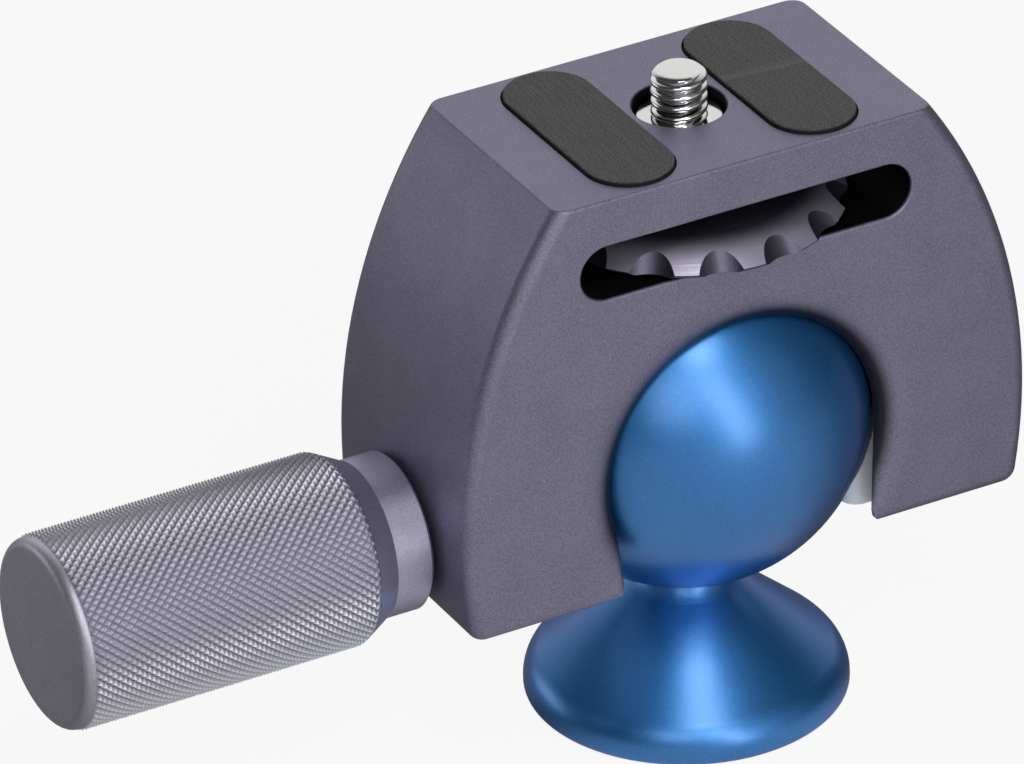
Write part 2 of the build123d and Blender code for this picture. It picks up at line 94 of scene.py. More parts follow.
soft_lamp("front_softbox", direction=(0.010, -0.93, 0.36), distance=0.9,
          width=0.24, height=0.80, power=2.0, lean=radians(20))
soft_lamp("overhead_softbox", direction=(-0.10, -0.50, 0.86), distance=0.9,
          width=0.30, height=0.30, power=1.6)
soft_lamp("fill_softbox", direction=(-0.50, -0.70, 0.50), distance=1.0,
          width=0.5, height=0.5, power=1.2)


class Socket:
    """A shader output that takes part in Python sums."""

    def __init__(self, nodes, output):
        self.nodes = nodes
        self.output = output

    def _math(self, operation, left, right):
        return self.nodes.node("ShaderNodeMath", {"operation": operation}, {0: left, 1: right})

    def __add__(self, other):
        return self._math("ADD", self, other)

    def __radd__(self, other):
        return self._math("ADD", other, self)

    def __rsub__(self, other):
        return self._math("SUBTRACT", other, self)

    def __mul__(self, other):
        return self._math("MULTIPLY", self, other)

    def __rmul__(self, other):
        return self._math("MULTIPLY", other, self)


class Nodes:
    """The node tree of a material or of the world, with one method that adds any node."""

    def __init__(self, tree):
        self.tree = tree
        tree.nodes.clear()

    def node(self, kind, settings=None, values=None, output=0):
        made = self.tree.nodes.new(kind)
        for name, value in (settings or {}).items():
            setattr(made, name, value)
        for name, value in (values or {}).items():
            if isinstance(value, Socket):
                self.tree.links.new(value.output, made.inputs[name])
            else:
                made.inputs[name].default_value = value
        return Socket(self, made.outputs[output]) if len(made.outputs) else None

    def place(self, scale=(1, 1, 1), turn=(0, 0, 0), shift=(0, 0, 0)):
        """A place on the object, in metres, stretched, turned and moved for a pattern."""
        coordinates = self.node("ShaderNodeTexCoord", output="Object")
        return self.node("ShaderNodeMapping", None,
                         {"Vector": coordinates, "Scale": scale, "Rotation": turn,
                          "Location": shift})

    def axis(self, name, vector):
        """One coordinate of a place or of a direction."""
        return self.node("ShaderNodeSeparateXYZ", None, {0: vector}, output=name)

    def either_side(self, name, place):
        """How far a place lies to either side of the middle, along one axis."""
        return self.node("ShaderNodeMath", {"operation": "ABSOLUTE"}, {0: self.axis(name, place)})

    def length(self, place):
        """How far a place is from the origin."""
        return self.node("ShaderNodeVectorMath", {"operation": "LENGTH"}, {0: place},
                         output="Value")

    def upward(self):
        """1 where the surface faces up, 0 where it is upright."""
        return self.axis("Z", self.node("ShaderNodeTexCoord", output="Normal"))

    def noise(self, size, detail=2.0, vector=None):
        """Soft random grain, whose lumps are about size metres across."""
        vector = vector or self.place()
        return self.node("ShaderNodeTexNoise", None,
                         {"Vector": vector, "Scale": 1 / size, "Detail": detail,
                          "Roughness": 0.6})

    def step(self, value, low, high):
        """0 below low, 1 above high, and a smooth rise between them."""
        return self.node("ShaderNodeMapRange", {"interpolation_type": "SMOOTHSTEP"},
                         {"Value": value, "From Min": low, "From Max": high})

    def drop(self, value, low, high):
        """1 below low, 0 above high, and a smooth fall between them."""
        return 1.0 - self.step(value, low, high)

    def blend(self, factor, first, second):
        """A colour between two colours."""
        return self.node("ShaderNodeMix", {"data_type": "RGBA"}, {0: factor, 6: first, 7: second},
                         output=2)

    def bump(self, height, depth):
        """A normal from a height of 0 to 1 that stands for depth metres."""
        return self.node("ShaderNodeBump", None,
                         {"Height": height, "Distance": depth, "Strength": 1.0})

    def surface(self, **values):
        """A Principled surface and the tree's output; spaces in names are underscores."""
        inputs = {name.replace("_", " "): value for name, value in values.items()}
        shader = self.node("ShaderNodeBsdfPrincipled", None, inputs)
        self.node("ShaderNodeOutputMaterial", None, {"Surface": shader})


def fall_off(nodes, direction, side, low, high):
    """0 on most of the room or table, rising to 1 in the direction of one side."""
    along = nodes.node("ShaderNodeVectorMath", {"operation": "DOT_PRODUCT"},
                       {0: direction, 1: Vector(side).normalized()}, output="Value")
    return nodes.step(along, low, high)


WHITE = (1, 1, 1, 1)
ROOM_BACK_RIGHT = (0.41, 0.76, 0.45)
ROOM_BACK_LEFT = (-0.65, 0.76, -0.05)
ROOM_FRONT = (0.0, -1.0, 0.1)

room = bpy.data.worlds.new("room")
room.use_nodes = True
bpy.context.scene.world = room
nodes = Nodes(room.node_tree)
seen = nodes.node("ShaderNodeLightPath", output="Is Camera Ray")
direction = nodes.node("ShaderNodeTexCoord", output="Generated")
room_light = (0.05 + 0.8 * fall_off(nodes, direction, ROOM_BACK_RIGHT, 0.55, 0.92)
              + 1.5 * fall_off(nodes, direction, ROOM_BACK_LEFT, 0.89, 0.99)
              + 0.4 * fall_off(nodes, direction, ROOM_FRONT, 0.3, 0.95))
unseen = nodes.node("ShaderNodeBackground", None, {"Color": WHITE, "Strength": room_light})
white = nodes.node("ShaderNodeBackground", None, {"Color": WHITE, "Strength": 1.0})
nodes.node("ShaderNodeOutputWorld", None,
           {"Surface": nodes.node("ShaderNodeMixShader", None, {0: seen, 1: unseen, 2: white})})


def new_material(name):
    material = bpy.data.materials.new(name)
    material.use_nodes = True
    return material, Nodes(material.node_tree)


TABLE_SIZE = 6.0
TABLE_DROP = 0.02 * MM
TABLE_FRONT = (-0.2, -0.98, 0.0)
TABLE_BACK_LEFT = (-0.6, 0.76, 0.0)
PAPER_COLOUR = (0.8, 0.8, 0.8, 1)
GLOW_TO_CAMERA = 0.9
GLOW_IN_MIRRORS = 0.85

bpy.ops.object.select_all(action="DESELECT")
bpy.ops.mesh.primitive_plane_add(size=TABLE_SIZE, location=(0, 0, -TABLE_DROP))
table = bpy.context.object
table.name = "white_table"
material, nodes = new_material("white_table")
seen = nodes.node("ShaderNodeLightPath", output="Is Camera Ray")
mirrored = nodes.node("ShaderNodeLightPath", output="Is Glossy Ray")
mirrored = mirrored + nodes.node("ShaderNodeLightPath", output="Is Transmission Ray")
outward = nodes.node("ShaderNodeVectorMath", {"operation": "NORMALIZE"}, {0: nodes.place()})
table_light = (0.06 + 0.55 * fall_off(nodes, outward, TABLE_FRONT, 0.0, 0.85)
               + 0.12 * fall_off(nodes, outward, TABLE_BACK_LEFT, 0.6, 1.0))
paper = nodes.node("ShaderNodeBsdfDiffuse", None, {"Color": PAPER_COLOUR})
bright = nodes.node("ShaderNodeEmission", None,
                    {"Color": WHITE, "Strength": seen + mirrored * table_light})
glow = seen * GLOW_TO_CAMERA + mirrored * GLOW_IN_MIRRORS
top_side = nodes.node("ShaderNodeMixShader", None, {0: glow, 1: paper, 2: bright})
below = nodes.node("ShaderNodeNewGeometry", output="Backfacing")
clear = nodes.node("ShaderNodeBsdfTransparent")
nodes.node("ShaderNodeOutputMaterial", None,
           {"Surface": nodes.node("ShaderNodeMixShader", None, {0: below, 1: top_side, 2: clear})})
table.data.materials.append(material)


# ---- Housing ----
# The body is cut from solid aluminium, blasted to an even fine grain and anodised grey with a
# violet cast, with glints painted as light specks.  The mouths of the arch flare out around the
# ball, the inner corners of the legs are rounded, and the slot, the arch, the pads' recesses and
# the screw's hole are painted dark inside as shade.

BLAST_GRAIN = 0.18 * MM
DYE_CLOUDS = 7 * MM
PAINTED_GLINT_SIZE = 0.17 * MM
PAINTED_GLINT_COLOUR = (0.5, 0.49, 0.56, 1)
PAINTED_SHADE_COLOUR = (0.006, 0.006, 0.008, 1)


def dress(material, *names):
    """Gives a CAD piece its finish in every slot."""
    for name in names:
        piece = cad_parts[name]
        if not piece.material_slots:
            piece.data.materials.append(material)
        for index in range(len(piece.material_slots)):
            piece.material_slots[index].material = material


def anodised(name, dark, light, roughness, grain_depth, shade=None):
    """Dyed anodised aluminium: a coloured metal under a thin clear oxide, with glints painted as
    specks.
    """
    material, nodes = new_material(name)
    grain = nodes.noise(BLAST_GRAIN, detail=3.0)
    clouds = nodes.noise(DYE_CLOUDS)
    painted_glints = nodes.noise(PAINTED_GLINT_SIZE, vector=nodes.place(shift=(0.3, 0.1, 0.2)))
    mottle = nodes.step(grain * 0.85 + clouds * 0.15, 0.3, 0.7)
    colour = nodes.blend(mottle, (*dark, 1), (*light, 1))
    # Light specks painted as glints on the blasted grain.
    colour = nodes.blend(nodes.step(painted_glints, 0.6, 0.7) * 0.3, colour, PAINTED_GLINT_COLOUR)
    if shade:
        # Painted shade: the openings turn near black where the mask is 1.
        colour = nodes.blend(shade(nodes), colour, PAINTED_SHADE_COLOUR)
    nodes.surface(Base_Color=colour, Metallic=0.85, Roughness=grain * 0.12 + (roughness - 0.06),
                  Coat_Weight=0.12, Coat_Roughness=0.4, Normal=nodes.bump(grain, grain_depth))
    return material


# Each edge of a dark opening is the two places between which its painted shade comes in or goes
# out.
SLOT_DEPTH = (14.4 * MM, 14.65 * MM)
SLOT_FLOOR = (61.9 * MM, 62.1 * MM)
SLOT_ROOF = (68.9 * MM, 69.1 * MM)
SLOT_END = (21.2 * MM, 21.6 * MM)
ARCH_DEPTH = (14.0 * MM, 14.82 * MM)
ARCH_FOOT = (24.2 * MM, 27.0 * MM)
ARCH_TOP = (61.0 * MM, 61.3 * MM)
ARCH_SIDE = (20.5 * MM, 21.5 * MM)
HOLE_WALL = (5.25 * MM, 5.4 * MM)
HOLE_FOOT = (69.0 * MM, 69.2 * MM)
pad_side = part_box("pad_right")[1][0]
RECESS_DEPTH = (14.2 * MM, 14.4 * MM)
RECESS_FLOOR = (69.2 * MM, 69.4 * MM)
RECESS_RIM = (74.3 * MM, 74.45 * MM)
RECESS_SIDE = (pad_side + 0.5 * MM, pad_side + 0.7 * MM)


def painted_deep_shade(nodes):
    """Where shade is painted dark: 1 on the walls of the slot, the screw's hole and the recesses,
    and rising slowly to 1 on the way into the arch."""
    place = nodes.place()
    depth = nodes.either_side("Y", place)
    sideways = nodes.either_side("X", place)
    height = nodes.axis("Z", place)
    slot = nodes.drop(depth, *SLOT_DEPTH) * nodes.step(height, *SLOT_FLOOR)
    slot = slot * nodes.drop(height, *SLOT_ROOF) * nodes.drop(sideways, *SLOT_END)
    arch = nodes.drop(depth, *ARCH_DEPTH) * nodes.step(height, *ARCH_FOOT)
    arch = arch * nodes.drop(height, *ARCH_TOP) * nodes.drop(sideways, *ARCH_SIDE)
    from_axis = nodes.length(nodes.place(scale=(1, 1, 0)))
    hole = nodes.drop(from_axis, *HOLE_WALL) * nodes.step(height, *HOLE_FOOT)
    recess = nodes.drop(depth, *RECESS_DEPTH) * nodes.step(height, *RECESS_FLOOR)
    recess = recess * nodes.drop(height, *RECESS_RIM) * nodes.drop(sideways, *RECESS_SIDE)
    return slot * 0.98 + arch * 0.95 + hole * 0.98 + recess * (1.0 - hole) * 0.98


housing_grey = anodised("blasted_grey_anodising", dark=(0.18, 0.17, 0.25),
                        light=(0.31, 0.29, 0.405), roughness=0.5, grain_depth=0.02 * MM,
                        shade=painted_deep_shade)

LEG_BELOW_BALL = 13.7 * MM
THROAT_R = 16.8 * MM
FLARE_WIDTH = 4.4 * MM
FLARE_DEPTH = 2.0 * MM
FLARE_SWEEP = radians(80)
FLARE_RINGS = 10
CORNER_ROUND = 1.8 * MM
CORNER_X = 16.0 * MM
HOLLOW_ROUND = 0.086      # the bevel profile that turns a corner into a hollow round
OUTSIDE = 1.5 * MM        # how far the two cutters stand outside the housing
SAME_PLACE = 0.001 * MM   # points that are closer than this are one

housing_low, housing_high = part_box("housing")
ball_z = housing_low[2] + LEG_BELOW_BALL
housing_depth = housing_high[1] - housing_low[1]


def merged_copy(node, name):
    """A copy of a CAD piece with its split edges merged, left in edit mode."""
    bpy.ops.object.select_all(action="DESELECT")
    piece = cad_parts[node].copy()
    piece.data = piece.data.copy()
    piece.name = name
    bpy.context.collection.objects.link(piece)
    bpy.context.view_layer.objects.active = piece
    piece.select_set(True)
    bpy.ops.object.mode_set(mode="EDIT")
    bpy.ops.mesh.select_all(action="SELECT")
    bpy.ops.mesh.remove_doubles(threshold=SAME_PLACE)
    return piece


def started(add_primitive, name, scale=(1, 1, 1), **shape):
    """A new primitive with its place in its mesh, left in edit mode."""
    bpy.ops.object.select_all(action="DESELECT")
    add_primitive(**shape)
    piece = bpy.context.object
    piece.name = name
    piece.scale = scale
    bpy.ops.object.transform_apply(location=True, rotation=True, scale=True)
    bpy.ops.object.mode_set(mode="EDIT")
    return piece


def pick(piece, kind, wanted):
    """Selects, in edit mode, the vertices, edges or faces for which wanted is true."""
    modes = {"verts": "VERT", "edges": "EDGE", "faces": "FACE"}
    bpy.ops.mesh.select_mode(type=modes[kind])
    bpy.ops.mesh.select_all(action="DESELECT")
    mesh = bmesh.from_edit_mesh(piece.data)
    for part in getattr(mesh, kind):
        if wanted(part):
            part.select_set(True)
    bmesh.update_edit_mesh(piece.data)


def draw_out(axis, centre, start, rings):
    """Extrudes the picked end of a turned piece from one ring to the next.  A ring is its place
    along the turning axis (0, 1 or 2 for X, Y or Z) and its radius."""
    place, radius = start
    for next_place, next_radius in rings:
        move, middle, scale = [0, 0, 0], list(centre), [next_radius / radius] * 3
        move[axis], middle[axis], scale[axis] = next_place - place, next_place, 1
        bpy.ops.mesh.extrude_region_move(TRANSFORM_OT_translate={"value": move})
        bpy.ops.transform.resize(value=scale, center_override=middle)
        place, radius = next_place, next_radius


def cut_to(piece, blank, operation="INTERSECT"):
    """Keeps of the piece only what lies inside the blank, or only the rest, and drops the blank."""
    bpy.ops.object.mode_set(mode="OBJECT")
    bpy.ops.object.select_all(action="DESELECT")
    bpy.context.view_layer.objects.active = piece
    piece.select_set(True)
    trim = piece.modifiers.new("trim", "BOOLEAN")
    trim.operation = operation
    trim.solver = "EXACT"
    trim.object = blank
    bpy.ops.object.modifier_apply(modifier=trim.name)
    bpy.data.objects.remove(blank)
    bpy.ops.object.mode_set(mode="EDIT")
    bpy.ops.mesh.select_all(action="SELECT")
    bpy.ops.mesh.remove_doubles(threshold=SAME_PLACE)
    bpy.ops.object.mode_set(mode="OBJECT")


def smooth(piece, angle):
    """Smooth shading on rounds, with flat faces kept flat."""
    bpy.ops.mesh.customdata_custom_splitnormals_clear()
    bpy.ops.object.shade_smooth_by_angle(angle=radians(angle))
    evening = piece.modifiers.new("evening", "WEIGHTED_NORMAL")
    evening.keep_sharp = True
    bpy.ops.object.modifier_apply(modifier=evening.name)


def paint(piece, material):
    """Gives a new piece its one finish."""
    piece.data.materials.clear()
    piece.data.materials.append(material)


housing = merged_copy("housing", "flared_housing")
bpy.ops.object.mode_set(mode="OBJECT")

flare = started(bpy.ops.mesh.primitive_cylinder_add, "flare_cutter", vertices=144,
                radius=THROAT_R + FLARE_WIDTH, depth=OUTSIDE, rotation=(pi / 2, 0, 0),
                location=(0, housing_low[1] - OUTSIDE / 2, ball_z))
pick(flare, "faces", lambda face: face.normal.y > 0.9)
sweep = [FLARE_SWEEP * ring / FLARE_RINGS for ring in range(1, FLARE_RINGS + 1)]
draw_out(1, (0, 0, ball_z), (housing_low[1], THROAT_R + FLARE_WIDTH),
         [(housing_low[1] + FLARE_DEPTH * (1 - cos(angle)),
           THROAT_R + FLARE_WIDTH * (1 - sin(angle))) for angle in sweep])
bpy.ops.mesh.select_all(action="SELECT")
bpy.ops.mesh.duplicate()
bpy.ops.transform.rotate(value=pi, orient_axis="Z", center_override=(0, 0, ball_z))
cut_to(housing, flare, "DIFFERENCE")


def is_long_top_edge(edge):
    """The two upper edges of the corner cutter that run from front to back."""
    first, second = (vertex.co for vertex in edge.verts)
    return min(first.z, second.z) > housing_low[2] and abs(first.x - second.x) < SAME_PLACE


corner = started(bpy.ops.mesh.primitive_cube_add, "corner_cutter",
                 scale=(2 * (CORNER_X + CORNER_ROUND), housing_depth + 2 * OUTSIDE,
                        CORNER_ROUND + OUTSIDE),
                 size=1.0, location=(0, 0, housing_low[2] + (CORNER_ROUND - OUTSIDE) / 2))
pick(corner, "edges", is_long_top_edge)
bpy.ops.mesh.bevel(offset=CORNER_ROUND, affect="EDGES", segments=6, profile=HOLLOW_ROUND)
cut_to(housing, corner, "DIFFERENCE")
smooth(housing, 32)
paint(housing, housing_grey)
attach(housing, "head")
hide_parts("housing")


# ---- Ball and foot ----
# One turned piece of aluminium, from the ball through the neck to the cone that it stands on.  It
# is blasted to a satin shine and anodised blue.

BALL_CLOUDS = 12 * MM
BALL_PAINTED_GLINT_SIZE = 0.16 * MM
BALL_PAINTED_GLINT_COLOUR = (0.2, 0.45, 0.8, 1)
BALL_DARK = (0.008, 0.165, 0.5, 1)
BALL_LIGHT = (0.014, 0.255, 0.69, 1)
BALL_EDGE_TINT = (0.05, 0.22, 0.6, 1)


def blue_anodised():
    material, nodes = new_material("satin_blue_anodising")
    grain = nodes.noise(BLAST_GRAIN, detail=3.0)
    clouds = nodes.noise(BALL_CLOUDS)
    painted_glints = nodes.noise(BALL_PAINTED_GLINT_SIZE, vector=nodes.place(shift=(0.2, 0.4, 0.1)))
    mottle = nodes.step(grain * 0.75 + clouds * 0.25, 0.3, 0.7)
    colour = nodes.blend(mottle, BALL_DARK, BALL_LIGHT)
    # Light specks painted as glints on the blasted grain.
    colour = nodes.blend(nodes.step(painted_glints, 0.64, 0.72) * 0.3, colour, BALL_PAINTED_GLINT_COLOUR)
    nodes.surface(Base_Color=colour, Metallic=0.92, Roughness=grain * 0.08 + 0.36,
                  Coat_Weight=1.0, Coat_Roughness=0.3, Coat_IOR=1.7,
                  Specular_Tint=BALL_EDGE_TINT, Normal=nodes.bump(grain, 0.006 * MM))
    return material


dress(blue_anodised(), "ball_foot")


# ---- Bushes, spindle and screws ----
# Turned metal: the steel bush pressed into the underside of the foot, the steel spindle in its
# brass bush, the plate that it pushes, the screws and washer of knob and jaw, and the wheel's pin.

def turned_metal(name, colour, roughness, along):
    """Bare turned metal with fine tool marks around one axis."""
    material, nodes = new_material(name)
    scale = (1, 0.03, 0.03) if along == "X" else (0.03, 0.03, 1)
    marks = nodes.noise(0.08 * MM, vector=nodes.place(scale=scale))
    nodes.surface(Base_Color=(*colour, 1), Metallic=1.0, Roughness=marks * 0.15 + roughness,
                  Normal=nodes.bump(marks, 0.003 * MM))
    return material


bush_steel = turned_metal("turned_bush_steel", (0.5, 0.5, 0.5), 0.25, "Z")
spindle_steel = turned_metal("turned_spindle_steel", (0.45, 0.45, 0.46), 0.28, "X")
bush_brass = turned_metal("turned_bush_brass", (0.6, 0.42, 0.16), 0.25, "X")
dress(bush_steel, "tripod_bush", "wheel_pin")
dress(spindle_steel, "spindle", "knob_washer", "knob_screw", "thrust_plate", "fixed_jaw_screws")
dress(bush_brass, "spindle_bush")


# ---- Jaws ----
# White acetal blocks, moulded smooth, with a dark friction lining set into each.  The friction
# washers of knob and wheel and the sleeve around the camera screw are of the same dark plastic.

def plastic(name, colour, roughness):
    material, nodes = new_material(name)
    cloud = nodes.noise(0.5 * MM)
    nodes.surface(Base_Color=(*colour, 1), Roughness=cloud * 0.1 + roughness,
                  Normal=nodes.bump(cloud, 0.01 * MM))
    return material


dress(plastic("white_acetal", (0.93, 0.945, 0.96), 0.35), "fixed_jaw", "moving_jaw")
dress(plastic("dark_lining", (0.03, 0.03, 0.03), 0.6), "fixed_jaw_insert", "moving_jaw_insert",
      "spindle_washer", "wheel_washer", "screw_bush")


# ---- Knurled grip ----
# A turned aluminium sleeve, rolled with a diamond knurl before it was anodised: two sets of
# crossing grooves leave rows of small blunt pyramids, which run out on the cone of the collar.  It
# is held on the spindle by the screw under the cap.

GRIP_POINTS_AROUND = 66
GRIP_POINTS_ALONG = 29
GROOVE_DEPTH = 0.48 * MM
POINT_FLAT = 0.03 * MM
CONE_SLOPE = 0.54         # the fall of the collar's cone along the knob's axis
ROWS = 2 * GRIP_POINTS_ALONG + 3
OUTER_CHAMFER = 0.5 * MM
CHAMFER_LIP = 0.08 * MM   # the chamfer stops this far above the grooves
BLANK_GAP = 0.002 * MM    # between the points and the blank that trims the ends

grip_low, grip_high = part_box("knob_grip")
grip_axis_z = (grip_low[2] + grip_high[2]) / 2
grip_top_r = (grip_high[2] - grip_low[2]) / 2
groove_r = grip_top_r - GROOVE_DEPTH
row_pitch = (grip_high[0] - grip_low[0]) / (2 * GRIP_POINTS_ALONG)
teeth_end = grip_high[0] + GROOVE_DEPTH / CONE_SLOPE
rod_start = grip_low[0] - row_pitch
rod_end = rod_start + ROWS * row_pitch
blank_start = grip_low[0] + OUTER_CHAMFER
blank_r = grip_top_r + BLANK_GAP


def is_knurl_point(vertex):
    """Every second crossing of rows and columns stands up as a point."""
    row = round((vertex.co.x - rod_start) / row_pitch)
    column = round(atan2(vertex.co.z - grip_axis_z, vertex.co.y) / pi * GRIP_POINTS_AROUND)
    return 0 < row < ROWS and (row + column) % 2 == 0


def turned_rod(name, radius, start, end, columns):
    """A plain rod about the knob's axis, left in edit mode."""
    return started(bpy.ops.mesh.primitive_cylinder_add, name, vertices=columns, radius=radius,
                   depth=end - start, location=((start + end) / 2, 0, grip_axis_z),
                   rotation=(0, pi / 2, 0))


grip = turned_rod("knurled_grip", groove_r, rod_start, rod_end, 2 * GRIP_POINTS_AROUND)
pick(grip, "edges", lambda edge: abs(edge.verts[0].co.x - edge.verts[1].co.x) > row_pitch)
bpy.ops.mesh.subdivide(number_cuts=ROWS - 1)
pick(grip, "verts", is_knurl_point)
swell = grip_top_r / groove_r
bpy.ops.transform.resize(value=(1, swell, swell), center_override=(0, 0, grip_axis_z))
pick(grip, "faces", lambda face: abs(face.normal.x) < 0.99)
bpy.ops.mesh.quads_convert_to_tris(quad_method="SHORTEST_DIAGONAL")
pick(grip, "verts", is_knurl_point)
bpy.ops.mesh.bevel(offset=POINT_FLAT, affect="VERTICES", segments=1)
bpy.ops.object.mode_set(mode="OBJECT")

blank = turned_rod("grip_blank", blank_r, blank_start, grip_high[0], 4 * GRIP_POINTS_AROUND)
for side, start_x, end_x, end_r in ((-1, blank_start, grip_low[0], groove_r + CHAMFER_LIP),
                                    (1, grip_high[0], teeth_end, groove_r)):
    pick(blank, "faces", lambda face: face.normal.x * side > 0.9)
    draw_out(0, (0, 0, grip_axis_z), (start_x, blank_r), [(end_x, end_r)])
cut_to(grip, blank)

GRIP_GRAIN = 0.15 * MM
POINTS_DEPTH = 0.1 * MM   # the points are fully light this far below their tops


def knurled_anodised():
    """Darker in the grooves as painted shade, and nearly white on the points as wear and painted
    highlight.
    """
    material, nodes = new_material("knurled_grey_anodising")
    grain = nodes.noise(GRIP_GRAIN, detail=3.0)
    from_axis = nodes.length(nodes.place(scale=(0, 1, 1), shift=(0, 0, -grip_axis_z)))
    height = nodes.step(from_axis, groove_r, grip_top_r - POINTS_DEPTH)
    # The grooves are painted darker as shade, and the points lighter as wear and as painted
    # highlight.
    low = nodes.blend(grain, (0.33, 0.32, 0.40, 1), (0.46, 0.445, 0.54, 1))
    top = nodes.blend(grain, (0.78, 0.77, 0.86, 1), (0.97, 0.96, 0.99, 1))
    nodes.surface(Base_Color=nodes.blend(height, low, top), Metallic=0.85,
                  Roughness=0.46 - height * 0.12, Coat_Weight=0.15, Coat_Roughness=0.35,
                  Normal=nodes.bump(grain, 0.006 * MM))
    return material


paint(grip, knurled_anodised())
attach(grip, "knob")
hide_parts("knob_grip")


# ---- Knob collar and cap ----
# The plain collar with its cone, and the cap with its rounded edge, are turned and anodised like
# the grip.  The collar is pressed on the spindle, and the cap covers the screw in the grip's end.

collar_grey = anodised("turned_grey_anodising", dark=(0.37, 0.355, 0.475),
                       light=(0.52, 0.5, 0.65), roughness=0.4, grain_depth=0.006 * MM)
cap_grey = anodised("cap_grey_anodising", dark=(0.39, 0.375, 0.45),
                    light=(0.57, 0.55, 0.65), roughness=0.45, grain_depth=0.01 * MM)

collar = merged_copy("knob_collar", "collar_and_cone")
bpy.ops.mesh.bisect(plane_co=(teeth_end, 0, 0), plane_no=(-1, 0, 0), use_fill=True,
                    clear_outer=True)
bpy.ops.object.mode_set(mode="OBJECT")
smooth(collar, 25)
paint(collar, collar_grey)
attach(collar, "knob")
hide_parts("knob_collar")
dress(cap_grey, "knob_end_cap")


# ---- Thumb wheel ----
# Turned aluminium with a domed crown, milled with leaning scallops for the finger and then dyed.
# It sits in the slot on its washer.  Its crown is painted dark as the slot's shade and light near
# the rim as painted highlight, and its scallops are painted dark as shade.

CROWN_SLOPE = radians(19.6)
CROWN_RIM_Z = 64.26 * MM  # where the line of the crown's slope would meet the rim
RIM_SLOPE = radians(38)
DOME_START = 13.5 * MM
DOME_RINGS = 10
DOME_GAP = 0.02 * MM      # between the wheel's rim and the blank that domes it
DOME_BELOW = 0.5 * MM
CROWN_UPWARD = (0.67, 0.74)
# Between these radii the crown turns from painted slot shade to painted highlight.
PAINTED_RIM_LIGHT_SPAN = (13.8 * MM, 17.3 * MM)
TURNING_MARKS = 0.12 * MM

wheel_low, wheel_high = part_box("thumb_wheel")
wheel_r = (wheel_high[0] - wheel_low[0]) / 2
dome_r = (wheel_r - DOME_START) / (sin(RIM_SLOPE) - sin(CROWN_SLOPE))
start_z = CROWN_RIM_Z + (wheel_r - DOME_START) * tan(CROWN_SLOPE)
rim_z = start_z - dome_r * (cos(CROWN_SLOPE) - cos(RIM_SLOPE))
low_z = wheel_low[2] - DOME_BELOW


def turned_wheel():
    """Painted slot shade on the crown, painted highlight near its rim, and scallops painted dark as
    shade.
    """
    material, nodes = new_material("turned_wheel_anodising")
    on_crown = nodes.step(nodes.upward(), *CROWN_UPWARD)
    radius = nodes.length(nodes.place(scale=(1, 1, 0)))
    rings = nodes.node("ShaderNodeTexNoise", {"noise_dimensions": "1D"},
                       {"W": radius, "Scale": 1 / TURNING_MARKS, "Detail": 1.0})
    grain = nodes.noise(0.15 * MM)
    # The crown is painted near black inside the slot as its shade, and light near the rim as
    # highlight.
    painted_rim_light = nodes.blend(grain, (0.66, 0.61, 0.8, 1), (0.84, 0.79, 0.95, 1))
    crown = nodes.blend(nodes.step(radius, *PAINTED_RIM_LIGHT_SPAN), (0.06, 0.056, 0.08, 1), painted_rim_light)
    # The scallops are painted dark as shade.
    painted_scallop_shade = nodes.blend(grain, (0.07, 0.066, 0.095, 1), (0.11, 0.105, 0.145, 1))
    nodes.surface(Base_Color=nodes.blend(on_crown, painted_scallop_shade, crown), Metallic=0.85, Roughness=0.36,
                  Coat_Weight=0.1, Coat_Roughness=0.3,
                  Normal=nodes.bump(rings * on_crown, 0.012 * MM))
    return material


wheel = merged_copy("thumb_wheel", "domed_thumb_wheel")
bpy.ops.object.mode_set(mode="OBJECT")

dome = started(bpy.ops.mesh.primitive_cylinder_add, "dome_blank", vertices=180,
               radius=wheel_r + DOME_GAP, depth=rim_z - low_z,
               location=(0, 0, (rim_z + low_z) / 2))
pick(dome, "faces", lambda face: face.normal.z > 0.9)
slopes = [RIM_SLOPE + (CROWN_SLOPE - RIM_SLOPE) * ring / DOME_RINGS
          for ring in range(1, DOME_RINGS + 1)]
dome_rings = [(rim_z + dome_r * (cos(slope) - cos(RIM_SLOPE)),
               wheel_r - dome_r * (sin(RIM_SLOPE) - sin(slope))) for slope in slopes]
above_hub = (dome_rings[-1][0] + DOME_START, dome_rings[-1][1] * 1.1)
draw_out(2, (0, 0, 0), (rim_z, wheel_r + DOME_GAP), dome_rings + [above_hub])
cut_to(wheel, dome)
smooth(wheel, 18)
paint(wheel, turned_wheel())
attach(wheel, "wheel")
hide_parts("thumb_wheel")


# ---- Camera screw ----
# Polished steel: a rolled thread with rounded crests and a chamfered end above a round shoulder,
# and a stem that goes down into the thumb wheel, where a pin holds it.

SHOULDER_CUT = 72.3 * MM
SHOULDER_TOP = 73.2 * MM
SHOULDER_ROUND = 0.15 * MM
SCREW_PITCH = 1.27 * MM
CREST_R = 3.175 * MM
ROOT_R = 2.45 * MM
FLANKS_WIDTH = 0.86       # of the pitch, at the root
CREST_WIDTH = 0.42        # of the width at the root
ROOT_WIDTH = 0.14         # of the pitch
CREST_ROUND = 0.2 * MM
THREAD_TURNS = 9
TURN_STEPS = 56
THREAD_START = SHOULDER_TOP - 2 * SCREW_PITCH
THREAD_DOUBLES = 0.004 * MM
TOP_BREAK = 0.95 * MM
BESIDE_CREST = 0.02 * MM  # between the crests and the blank that chamfers the end

middle_r = (CREST_R + ROOT_R) / 2
near_root_r = ROOT_R + 0.01 * MM
thread_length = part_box("camera_screw")[1][2] - SHOULDER_TOP

chrome = turned_metal("polished_steel", (0.8, 0.8, 0.79), 0.04, "Z")

